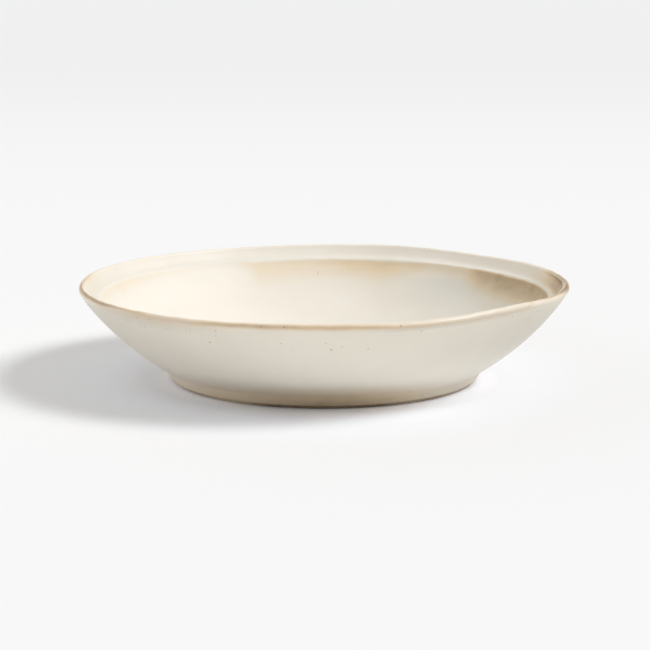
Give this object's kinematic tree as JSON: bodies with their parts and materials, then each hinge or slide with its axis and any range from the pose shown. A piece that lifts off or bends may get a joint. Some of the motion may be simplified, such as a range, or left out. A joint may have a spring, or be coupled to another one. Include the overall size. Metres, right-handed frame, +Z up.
{
  "type": "low bowl",
  "caption": "Wide low stoneware bowl with a ledge inside its rim and a short flared foot ring, in a cream glaze that breaks to brown at the lip.",
  "frame": {"origin": "centre of the foot ring, on the surface that the bowl stands on", "axes": "+Z up along the axis that the bowl was turned on; +X to the right and +Y away as the picture sees it"},
  "size_m": [0.222, 0.222, 0.0462],
  "materials": {
    "clay": "bare fired stoneware, dry and slightly sandy",
    "cream_glaze": "satin cream glaze that breaks to tan at edges, with small brown specks",
    "brown_wash": "thin toasted brown coat over the lip"
  },
  "bodies": {
    "root": {"stoneware_body": "clay", "inside_glaze": "cream_glaze", "outside_glaze": "cream_glaze", "rim_wash": "brown_wash", "base_glaze": "cream_glaze"}
  },
  "joints": []
}
